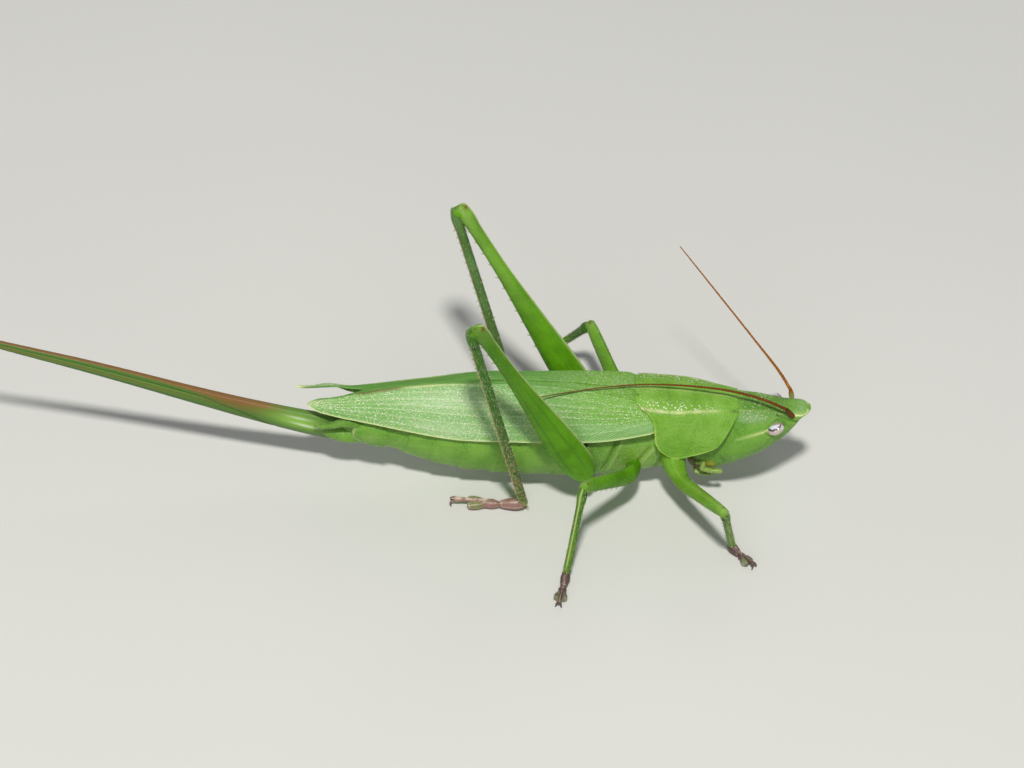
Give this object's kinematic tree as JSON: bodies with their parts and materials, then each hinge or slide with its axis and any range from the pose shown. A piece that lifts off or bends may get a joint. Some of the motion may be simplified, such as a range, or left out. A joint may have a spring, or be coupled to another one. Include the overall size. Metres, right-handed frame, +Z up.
{
  "type": "long horned grasshopper",
  "caption": "Adult female conehead katydid at rest, life size: slanted conical head, raised hind knees, folded wings and a long sword-shaped ovipositor.",
  "frame": {"origin": "middle of the whole insect's bounding box, on the floor under its feet", "axes": "+X towards the head, +Y to the insect's left, +Z up; standing at rest on its six feet"},
  "size_m": [0.0606, 0.0276, 0.0201],
  "materials": {
    "cuticle": "satin leaf green of the head, thorax and thighs",
    "pronotum": "satin bright green with pale side ridges",
    "wing": "glossy pale green, finely veined",
    "abdomen": "satin yellow green",
    "eye": "glossy pinkish white with a dark band",
    "feeler": "reddish brown, finely ringed",
    "ovipositor": "glossy green and brown bands",
    "tibia": "satin bluish green",
    "tarsus": "pinkish brown",
    "mouth": "yellowish green"
  },
  "bodies": {
    "root": {"pronotum": "pronotum", "eye_right": "eye", "antenna_right": "feeler", "palp_right": "mouth", "eye_left": "eye", "antenna_left": "feeler", "palp_left": "mouth", "head": "cuticle", "mouthparts": "mouth", "prothorax": "cuticle", "thorax": "cuticle", "abdomen_1": "abdomen", "abdomen_2": "abdomen", "abdomen_3": "abdomen", "abdomen_4": "abdomen", "abdomen_5": "abdomen", "abdomen_6": "abdomen", "abdomen_7": "abdomen", "abdomen_tip": "abdomen", "subgenital_plate": "abdomen", "ovipositor_upper": "ovipositor", "ovipositor_lower": "ovipositor", "tegmen_right": "wing", "hindwing_right": "wing", "cercus_right": "abdomen", "tegmen_left": "wing", "hindwing_left": "wing", "cercus_left": "abdomen", "fore_coxa_right": "cuticle", "fore_femur_right": "cuticle", "fore_tibia_right": "tibia", "fore_tarsus_right": "tarsus", "fore_coxa_left": "cuticle", "fore_femur_left": "cuticle", "fore_tibia_left": "tibia", "fore_tarsus_left": "tarsus", "mid_coxa_right": "cuticle", "mid_femur_right": "cuticle", "mid_tibia_right": "tibia", "mid_tarsus_right": "tarsus", "mid_coxa_left": "cuticle", "mid_femur_left": "cuticle", "mid_tibia_left": "tibia", "mid_tarsus_left": "tarsus", "hind_coxa_right": "cuticle", "hind_femur_right": "cuticle", "hind_tibia_right": "tibia", "hind_tarsus_right": "tarsus", "hind_coxa_left": "cuticle", "hind_femur_left": "cuticle", "hind_tibia_left": "tibia", "hind_tarsus_left": "tarsus"}
  },
  "joints": []
}
